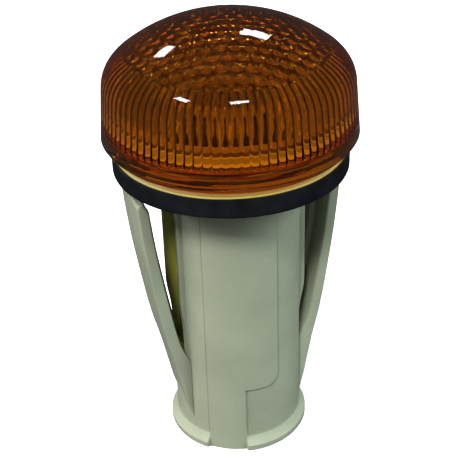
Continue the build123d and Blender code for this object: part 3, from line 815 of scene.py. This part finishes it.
@dataclass
class Stem:
    """Hollow stem with its foot, raised front panel and a window behind each arm."""

    radius: float = 13.5
    bore_r: float = 12.0
    top_z: float = 60.4
    foot_r: float = 14.9
    foot_round: float = 0.25
    foot_edge_z: float = 1.4
    lip_r: float = 14.05
    lip_z: float = 2.4
    neck_z: float = 3.1
    panel_r: float = 14.0
    panel: tuple[float, float] = (243.0, 307.5)
    panel_bottom_z: float = 15.6
    tongue: tuple[float, float] = (243.0, 276.7)
    arm_azimuth: float = 19.0
    window_half: float = 3.9
    window_z: tuple[float, float] = (21.0, 57.0)
    rail_thick: float = 1.2
    rail_x: float = 13.5
    rail_bottom_z: float = 28.0
    edge: float = 0.14
    panel_corner: float = 3.0
    crease_depth: float = 0.14
    skin: float = 0.3
    shelf_r: float = 11.0
    shelf_z: tuple[float, float] = (38.0, 39.1)

    def outer(self, angle: np.ndarray, height: np.ndarray) -> np.ndarray:
        """Outer radius: foot, raised panel with a crease round it, and tongue through the foot's rim.

        The panel and the tongue are shapes in the unrolled wall. A point's distance to them (for a rounded
        corner: the length of what lies beyond both sides, less the corner's radius) gives the step's
        height. Beside a window the wall is flat: its radius is rail_x over the cosine of the angle.

        Args:
            angle: degrees.
            height: heights.

        Returns:
            The radius at each point.
        """
        foot = np.interp(
            height, [0.0, self.foot_round, self.foot_edge_z, self.lip_z, self.neck_z, self.neck_z + 0.3],
            [self.foot_r - self.foot_round, self.foot_r, self.foot_r, self.lip_r, self.radius + 0.05,
             self.radius])
        arc_length = np.radians(angle) * self.radius
        left, right = (math.radians(side) * self.radius for side in self.panel)
        tongue_left, tongue_right = (math.radians(side) * self.radius for side in self.tongue)
        corner = self.panel_corner
        dx = np.maximum(left - arc_length, arc_length - right) + corner
        dz = self.panel_bottom_z - height + corner
        beyond = np.hypot(np.maximum(dx, 0), np.maximum(dz, 0))
        panel_gap = beyond + np.minimum(np.maximum(dx, dz), 0) - corner
        tongue_gap = np.maximum.reduce([tongue_left - arc_length, arc_length - tongue_right,
                                        height - self.panel_bottom_z - 2 * corner])
        gap = np.minimum(panel_gap, tongue_gap)
        raised = 1 - ease(gap, -self.edge, self.edge)
        crease = self.crease_depth * (ease(gap, 0.0, self.edge) - ease(gap, 1.5 * self.edge, 3 * self.edge))
        in_tongue = 1 - ease(tongue_gap, -self.edge, self.edge)
        plain = np.where(height > self.neck_z, foot - crease, foot)
        off = np.radians((angle - self.arm_azimuth + 90.0) % 180.0 - 90.0)
        rail_end = self.rail_end()
        rail = 1 - ease(np.abs(off), rail_end - 0.004, rail_end + 0.012)
        rail = rail * ease(height, self.rail_bottom_z - 2.0, self.rail_bottom_z + 7.0)
        plain = plain + (self.rail_x / np.cos(off) - plain) * rail
        return plain + (self.panel_r - plain) * np.where(height > self.neck_z, raised, in_tongue)

    def rail_end(self) -> float:
        """Angle in radians from a window's middle to the outer edge of its rails."""
        return math.asin((self.window_half + self.rail_thick) / self.rail_x)

    def inner(self, height: np.ndarray) -> np.ndarray:
        """Bore radius: straight, but for the shelf that carries the lamp holder."""
        low, high = self.shelf_z
        step = ease(height, low - 1.1, low - 0.05) * (1 - ease(height, high - 0.08, high + 0.02))
        return self.bore_r - (self.bore_r - self.shelf_r) * step

    def grid(self) -> tuple[np.ndarray, np.ndarray]:
        """Angles and heights of the wall's grid, close together where the wall steps.

        Returns:
            Rising angles in degrees, and rising heights.
        """
        half = math.degrees(math.asin(self.window_half / self.radius))
        sides = [middle + sign * half for middle in self.middles() for sign in (-1, 1)]
        steps = [*self.panel, *self.tongue]
        blur = math.degrees(self.edge / self.radius)
        angles = lines(0.0, 360.0, 2.0, sides + steps, blur)[:-1]
        corner = np.arange(self.panel[1] - 16.0, self.panel[1] + 2.5, 0.7)
        rail = math.degrees(self.rail_end())
        rails = np.array([middle + sign * rail + turn for middle in self.middles() for sign in (-1, 1)
                          for turn in (-0.75, -0.4, 0.0, 0.4, 0.75)]) % 360.0
        creases = np.concatenate([np.array(steps) + blur * side for side in (-3, -2, 2, 3)])
        angles = np.unique(np.round(np.concatenate([angles, corner, creases, rails]), 3))
        marks = [self.foot_round, self.foot_edge_z, self.lip_z, self.neck_z, self.neck_z + 0.3,
                 self.rail_bottom_z, self.panel_bottom_z, *self.window_z, *self.shelf_z]
        heights = lines(0.0, self.top_z, 1.0, marks, self.edge)
        corner = np.arange(self.panel_bottom_z - 0.5, self.panel_bottom_z + 3.6, 0.16)
        return angles, np.unique(np.round(np.concatenate([heights, corner]), 3))

    def middles(self) -> tuple[float, float]:
        """Angles of the two windows' middles, in degrees."""
        return self.arm_azimuth, self.arm_azimuth + 180.0

    def build(self) -> bpy.types.Object:
        """Builds the wall as two grids, outside and inside, joined round their ends and round the windows.

        A cell of the grid is left out where its middle lies inside a window, and each side between a kept
        and a dropped cell is closed by a face from the outer grid to the inner one.

        Returns:
            The stem.
        """
        angles, heights = self.grid()
        angle, height = np.meshgrid(angles, heights, indexing="ij")
        turn = np.radians(angle)
        skins = []
        for radius in (self.outer(angle, height), self.inner(height)):
            skin = np.stack([radius * np.cos(turn), radius * np.sin(turn), height], axis=-1)
            skins.append(skin.reshape(-1, 3))
        columns, rows = angle.shape
        half = math.degrees(math.asin(self.window_half / self.radius))
        mid_angle = (angles + np.append(angles[1:], 360.0)) / 2
        mid_height = (heights[1:] + heights[:-1]) / 2
        off = np.minimum.reduce([np.abs((mid_angle - middle + 180) % 360 - 180) for middle in self.middles()])
        open_row = (mid_height > self.window_z[0]) & (mid_height < self.window_z[1])
        keep = ~((off < half)[:, None] & open_row[None, :])
        outer = np.arange(columns * rows).reshape(columns, rows)
        inner = outer + columns * rows
        beside, beside_inner = np.roll(outer, -1, axis=0), np.roll(inner, -1, axis=0)
        quads = np.stack([outer[:, :-1], beside[:, :-1], beside[:, 1:], outer[:, 1:]], axis=-1)
        inside = quads[..., ::-1] + columns * rows
        across = keep != np.roll(keep, 1, axis=0)
        jambs = np.stack([outer[:, :-1], outer[:, 1:], inner[:, 1:], inner[:, :-1]], axis=-1)[across]
        padded = np.pad(keep, ((0, 0), (1, 1)))
        along = padded[:, 1:] != padded[:, :-1]
        rims = np.stack([outer, beside, beside_inner, inner], axis=-1)[along]
        faces = np.concatenate([part.reshape(-1, 4) for part in (quads[keep], inside[keep], jambs, rims)])
        stem = mesh_object("housing_stem", np.concatenate(skins), faces)
        dressed(stem, NYLON, Body.HOUSING, ["housing"])
        # Paint olive shade on the stem's inner faces.
        self.paint_shade_inside(stem.data)
        return stem

    def paint_shade_inside(self, mesh: bpy.types.Mesh) -> None:
        """Paints shade inside: every face whose middle lies well under the outer skin gets the olive
        painted-shade copy of the nylon.
        """
        mesh.materials.append(NYLON_PAINTED_SHADE.material())
        centre = np.empty(3 * len(mesh.polygons), np.float32)
        mesh.polygons.foreach_get("center", centre)
        centre = centre.reshape(-1, 3) / MM
        deep = np.hypot(centre[:, 0], centre[:, 1]) < self.radius - self.skin
        # Faces under the outer skin take the painted shade.
        mesh.polygons.foreach_set("material_index", deep.astype(np.int32))
        mesh.update()


@dataclass
class SnapArm:
    """Springy strap that grows out of a wedge on the stem and leans out to its tip."""

    name: str
    azimuth: float
    body: Body
    width: float = 12.0
    tip_z: float = 59.2
    rib_thick: float = 1.2
    rib_height: float = 1.15
    edge: float = 0.45
    bend: tuple[float, float] = (20.2, 23.6)
    bend_r: float = 14.5
    rib_rise: tuple[float, float] = (24.0, 28.0)
    rib_fall: tuple[float, float] = (54.4, 57.0)
    steps: int = 161
    corner_points: int = 5
    end_taper: tuple[float, ...] = (1.0, 0.85, 0.55)
    outer: tuple[tuple[float, float], ...] = (
        (12.0, 5.0), (13.1, 8.6), (13.85, 12.35), (14.6, 16.1), (15.65, 21.3), (16.75, 25.5), (17.8, 31.1),
        (18.95, 38.6), (20.0, 46.1), (20.8, 53.6), (21.2, 59.2))
    inner: tuple[tuple[float, float], ...] = (
        (11.95, 5.0), (12.05, 9.0), (12.05, 14.0), (12.05, 20.6), (12.6, 21.5), (13.4, 22.3), (14.3, 25.5),
        (15.4, 31.1), (16.6, 38.6), (17.7, 46.1), (18.5, 53.6), (18.9, 58.4), (19.4, 59.2))

    def smooth(self, table: Sequence[tuple[float, float]], height: np.ndarray) -> np.ndarray:
        """Radius at each height: straight between the table's rows, then averaged with its neighbours.

        Args:
            table: rows of (radius, height).
            height: rising heights.

        Returns:
            The radius.
        """
        rows = np.array(table)
        radius = np.interp(height, rows[:, 1], rows[:, 0])
        for _ in range(24):
            radius[1:-1] = 0.25 * radius[:-2] + 0.5 * radius[1:-1] + 0.25 * radius[2:]
        return radius

    def section(self, half_width: float, half_depth: np.ndarray, rib: np.ndarray) -> np.ndarray:
        """Rounded rectangle at each height, with a rib down the middle of its inner side.

        A corner is a quarter circle of the edge's radius, or of the half depth where that is smaller. The
        inner side has points at the rib's foot, flank and crest.

        Args:
            half_width: half the strap's width.
            half_depth: half its thickness at each height.
            rib: the rib's height at each height.

        Returns:
            Array (heights, points, 2).
        """
        count = self.corner_points
        quarter = np.radians(np.linspace(0, 90, count))
        turn = np.concatenate([quarter + k * math.pi / 2 for k in range(4)])
        side_u = np.repeat([1.0, -1.0, -1.0, 1.0], count)
        side_v = np.repeat([1.0, 1.0, -1.0, -1.0], count)
        edge = np.minimum(self.edge, half_depth * 0.95)[:, None]
        u = side_u * (half_width - edge) + edge * np.cos(turn)
        v = side_v * (half_depth[:, None] - edge) + edge * np.sin(turn)
        half = self.rib_thick / 2
        across = np.array([-half, -half + 0.05, -half + 0.16, 0.0, half - 0.16, half - 0.05, half])
        share = np.array([0.0, 0.84, 1.0, 1.0, 1.0, 0.84, 0.0])
        rib_v = -half_depth[:, None] - rib[:, None] * share
        before = 3 * count
        u = np.concatenate([u[:, :before], np.broadcast_to(across, rib_v.shape), u[:, before:]], axis=1)
        v = np.concatenate([v[:, :before], rib_v, v[:, before:]], axis=1)
        return np.stack([u, v], axis=-1)

    def build(self) -> bpy.types.Object:
        """Builds the arm: its section at each height spans from the inner line to the outer one.

        Returns:
            The arm.
        """
        height = np.linspace(self.outer[0][1], self.tip_z, self.steps)
        outer, inner = self.smooth(self.outer, height), self.smooth(self.inner, height)
        depth = np.maximum((outer - inner) / 2, 0.05)
        close = np.ones(len(height))
        close[-len(self.end_taper):] = self.end_taper
        turn = math.radians(self.azimuth)
        out = np.array([math.cos(turn), math.sin(turn), 0.0])
        across = np.array([-math.sin(turn), math.cos(turn), 0.0])
        centres = (inner + depth)[:, None] * out + height[:, None] * np.array([0.0, 0.0, 1.0])
        rib = self.rib_height * ease(height, *self.rib_rise) * (1.0 - ease(height, *self.rib_fall))
        section = self.section(self.width / 2, depth * close, rib)
        sides, lifts = np.repeat(across[None], len(height), 0), np.repeat(out[None], len(height), 0)
        arm = swept(self.name, centres, sides, lifts, section)
        arm.data.materials.append(NYLON.material())
        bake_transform(arm)
        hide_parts(self.body.value)
        log.info("%s: %d faces", arm.name, len(arm.data.polygons))
        return arm


@dataclass
class Rubber:
    """Panel gasket under the flange, and the seal inside the lens's base."""

    gasket_r: float = 23.3
    gasket_z: tuple[float, float] = (62.0, 64.6)
    groove_r: float = 18.0
    lip_inner_r: float = 22.75
    lip_z: float = 66.1
    seal_r: tuple[float, float] = (20.7, 21.8)
    seal_z: tuple[float, float] = (65.78, 66.95)
    seal_round: float = 0.35
    segments: int = 200

    def build(self) -> list[bpy.types.Object]:
        """Builds both rings from rounded sections.

        Returns:
            The gasket and the seal.
        """
        low, high = self.gasket_z
        outline = rounded([(self.groove_r, low + 0.75, 0.1), (self.groove_r + 0.75, low, 0.1),
                           (self.gasket_r, low, 0.55), (self.gasket_r, self.lip_z, 0.22),
                           (self.lip_inner_r, self.lip_z, 0.2), (self.lip_inner_r, high, 0.1),
                           (self.groove_r, high, 0.1)], 6)
        gasket = turned("panel_gasket_ring", densified(outline, 0.5, True), self.segments, True, self.waver)
        (near, far), (bottom, top), turn = self.seal_r, self.seal_z, self.seal_round
        outline = rounded([(near, bottom, turn), (far, bottom, turn), (far, top, turn), (near, top, turn)], 5)
        seal = turned("lens_seal_ring", densified(outline, 0.4, True), self.segments, True)
        return [dressed(gasket, GASKET, Body.HOUSING, ["panel_gasket"]),
                dressed(seal, SEAL, Body.SEAL, ["lens_seal"])]

    def waver(self, angle: np.ndarray, radius: np.ndarray, height: np.ndarray) -> np.ndarray:
        """Slight unevenness of soft rubber: the sum of three slow sines, felt only at the outer edge."""
        free = ease(radius, 20.0, self.gasket_r)
        wave = np.sin(3 * angle + 0.6) + 0.6 * np.sin(7 * angle + 1.9) + 0.35 * np.sin(13 * angle + 0.3)
        return 0.03 * free * (wave + 2.0)


@dataclass
class LampHolder:
    """The holder and its terminals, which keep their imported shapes."""

    finishes: dict[str, SolidFinish] = field(default_factory=lambda: {
        "reflector": SILVER, "holder_carrier": CARRIER_NYLON, "holder_shell": ZINC, "holder_insulator": BOARD,
        "live_terminal": BRASS, "earth_terminal": BRASS, "terminal_rivets": BRASS, "plunger_disc": BRASS,
        "plunger": PLUNGER, "contact_spring": SPRING})

    def build(self) -> None:
        """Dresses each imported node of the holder."""
        for node, finish in self.finishes.items():
            repainted(node, finish)


@dataclass
class Bulb:
    """Small bayonet bulb: turned glass, packed cap and wires."""

    glass_r: float = 9.25
    neck_r: float = 6.9
    neck_z: float = 61.0
    foot_round: float = 0.8
    cap_top_z: float = 65.0
    top_z: float = 86.0
    wall: float = 0.6
    segments: int = 96

    def outline(self) -> np.ndarray:
        """Closed wall of the glass: the outside down from the top, then the inside back up.

        The swelling from neck to globe is neck + (globe - neck) times the smooth step of height.

        Returns:
            Rows of (radius, height), from the axis to the axis.
        """
        skins = []
        for inset in (0.0, self.wall):
            wide, neck = self.glass_r - inset, self.neck_r - inset
            centre = self.top_z - self.glass_r
            globe = arc((0.0, centre), wide, 90.0, 0.0, 22)
            foot_top = self.neck_z + self.foot_round + inset
            height = np.linspace(centre, foot_top, 26)[1:]
            swell = neck + (wide - neck) * ease(height, self.cap_top_z - self.foot_round, centre)
            foot = arc((neck - self.foot_round, foot_top), self.foot_round, 0.0, -90.0, 6)[1:]
            floor = np.array([[0.0, self.neck_z + inset]])
            skins.append(np.vstack([globe, np.stack([swell, height], axis=1), foot, floor]))
        return np.vstack([skins[0], skins[1][::-1]])

    def build(self) -> None:
        """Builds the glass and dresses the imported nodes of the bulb."""
        outside, inside = np.split(self.outline(), 2)
        shells = []
        for name, outline in (("outside", outside), ("inside", inside[::-1])):
            shells.append(turned(f"bulb_glass_{name}", outline, self.segments, False))
        glass, lining = shells
        lining.data.flip_normals()
        work = bmesh.new()
        work.from_mesh(glass.data)
        work.from_mesh(lining.data)
        work.to_mesh(glass.data)
        work.free()
        bpy.data.objects.remove(lining)
        glass.name = "bulb_envelope"
        dressed(glass, BULB_GLASS, Body.BULB, ["bulb_glass"])
        for node, finish in {"bulb_cap": NICKEL, "bulb_pins": NICKEL, "bulb_insulator": DARK_GLASS,
                             "bulb_contact": SOLDER, "bulb_stem": BULB_GLASS, "filament_posts": LEAD,
                             "filament": LEAD}.items():
            repainted(node, finish)


# ---------------------------------------------------------------- studio


@dataclass(frozen=True)
class Softbox:
    """A rectangular lamp that faces a point."""

    name: str
    direction: Triple
    distance: float
    size: tuple[float, float]
    power: float
    colour: Triple = (1.0, 1.0, 1.0)
    mirrored: bool = True

    def build(self, target: np.ndarray) -> None:
        """Hangs the lamp at its distance from the target, along its direction.

        Args:
            target: the point it faces, in metres.
        """
        light = bpy.data.lights.new(self.name, "AREA")
        light.shape = "RECTANGLE"
        light.size, light.size_y = self.size
        light.energy = self.power
        light.color = self.colour
        lamp = bpy.data.objects.new(self.name, light)
        bpy.context.scene.collection.objects.link(lamp)
        back = np.array(self.direction) / np.linalg.norm(self.direction)
        side = np.cross((0.0, 0.0, 1.0), back)
        side = side / np.linalg.norm(side) if np.linalg.norm(side) > 1e-6 else np.array([1.0, 0.0, 0.0])
        rise = np.cross(back, side)
        matrix = np.eye(4)
        matrix[:3, :3] = np.stack([side, rise, back], axis=1)
        matrix[:3, 3] = target + back * self.distance
        lamp.matrix_world = Matrix(matrix.tolist())
        lamp.visible_glossy = self.mirrored
        lamp.visible_transmission = self.mirrored
        lamp.visible_camera = False


@dataclass
class Studio:
    """Pale floor, soft lamps and the camera."""

    floor_half: float = 0.8
    target: Triple = (0.0, 0.0, 0.06)
    camera_place: Triple = (0.0, -0.190, 0.1574)
    camera_yaw: float = -0.0045
    camera_pitch: float = 0.528
    camera_roll: float = -0.0328
    camera_lens: float = 84.74
    camera_sensor: float = 36.0
    lamps: tuple[Softbox, ...] = (
        Softbox("window_left", (-0.42, 0.61, 0.67), 0.9, (0.115, 0.10), 0.55),
        Softbox("window_right", (0.18, 0.69, 0.70), 0.9, (0.165, 0.10), 0.85),
        Softbox("skylight_left", (-0.483, -0.23, 0.845), 0.9, (0.17, 0.09), 1.2),
        Softbox("skylight_right", (0.11, -0.42, 0.90), 0.9, (0.19, 0.09), 1.3),
        Softbox("overhead", (0.05, 0.25, 1.0), 1.6, (1.2, 1.2), 17.0, mirrored=False),
        Softbox("front_key", (-0.20, -0.68, 0.80), 1.6, (0.34, 0.30), 30.0, mirrored=False),
        Softbox("front_fill", (0.1, -0.95, 0.25), 1.6, (1.0, 0.8), 1.6, mirrored=False),
        Softbox("left_fill", (-1.0, -0.30, 0.85), 1.5, (0.6, 0.6), 27.0, mirrored=False),
        Softbox("right_fill", (1.0, -0.35, 0.70), 1.4, (0.6, 0.6), 21.0, (0.86, 0.96, 1.0), mirrored=False))
    world_strength: float = 0.16
    world_mirrored: float = 0.05
    world_seen: float = 1.0

    def build(self) -> None:
        """Builds floor, lamps, world and camera."""
        self.floor()
        for lamp in self.lamps:
            lamp.build(np.array(self.target))
        self.world()
        self.camera()
        bpy.context.scene.view_settings.view_transform = "Standard"

    def floor(self) -> None:
        """Lays a pale square floor that only the camera sees."""
        half = self.floor_half
        mesh = bpy.data.meshes.new("floor")
        corners = [(-half, -half, 0.0), (half, -half, 0.0), (half, half, 0.0), (-half, half, 0.0)]
        mesh.from_pydata(corners, [], [(0, 1, 2, 3)])
        floor = bpy.data.objects.new("floor", mesh)
        bpy.context.scene.collection.objects.link(floor)
        floor.data.materials.append(PAPER.material())
        floor.visible_glossy = False
        floor.visible_transmission = False
        floor.visible_diffuse = False

    def world(self) -> None:
        """White surroundings: bright to the camera, dim in mirror images, moderate in everything else."""
        world = bpy.data.worlds.new("studio")
        world.use_nodes = True
        nodes, links = world.node_tree.nodes, world.node_tree.links
        background = nodes["Background"]
        background.inputs["Color"].default_value = (1.0, 1.0, 1.0, 1.0)
        path = nodes.new("ShaderNodeLightPath")
        mirrored, seen = nodes.new("ShaderNodeMapRange"), nodes.new("ShaderNodeMapRange")
        mirrored.inputs["To Min"].default_value = self.world_strength
        mirrored.inputs["To Max"].default_value = self.world_mirrored
        seen.inputs["To Max"].default_value = self.world_seen
        links.new(path.outputs["Is Glossy Ray"], mirrored.inputs["Value"])
        links.new(path.outputs["Is Camera Ray"], seen.inputs["Value"])
        links.new(mirrored.outputs["Result"], seen.inputs["To Min"])
        links.new(seen.outputs["Result"], background.inputs["Strength"])
        bpy.context.scene.world = world

    def camera(self) -> None:
        """Sets the camera from its place and its three turns."""
        yaw, pitch, roll = self.camera_yaw, self.camera_pitch, self.camera_roll
        ahead = np.array([math.sin(yaw) * math.cos(pitch), math.cos(yaw) * math.cos(pitch), -math.sin(pitch)])
        right = np.cross(ahead, (0.0, 0.0, 1.0))
        right /= np.linalg.norm(right)
        rise = np.cross(right, ahead)
        turned_right = right * math.cos(roll) + rise * math.sin(roll)
        turned_rise = rise * math.cos(roll) - right * math.sin(roll)
        matrix = np.eye(4)
        matrix[:3, :3] = np.stack([turned_right, turned_rise, -ahead], axis=1)
        matrix[:3, 3] = self.camera_place
        data = bpy.data.cameras.new("camera")
        data.lens, data.sensor_width = self.camera_lens, self.camera_sensor
        data.clip_start, data.clip_end = 0.01, 20.0
        camera = bpy.data.objects.new("camera", data)
        bpy.context.scene.collection.objects.link(camera)
        camera.matrix_world = Matrix(matrix.tolist())
        bpy.context.scene.camera = camera


def main() -> None:
    """Builds the lamp piece by piece, logging each piece, then the studio."""
    logging.basicConfig(level=logging.INFO, format="%(message)s")
    AmberLens().build()
    HousingHead().build()
    Stem().build()
    SnapArm("snap_arm_left_strap", 199.0, Body.ARM_LEFT).build()
    SnapArm("snap_arm_right_strap", 19.0, Body.ARM_RIGHT).build()
    Rubber().build()
    LampHolder().build()
    Bulb().build()
    Studio().build()


if __name__ == "__main__":
    main()
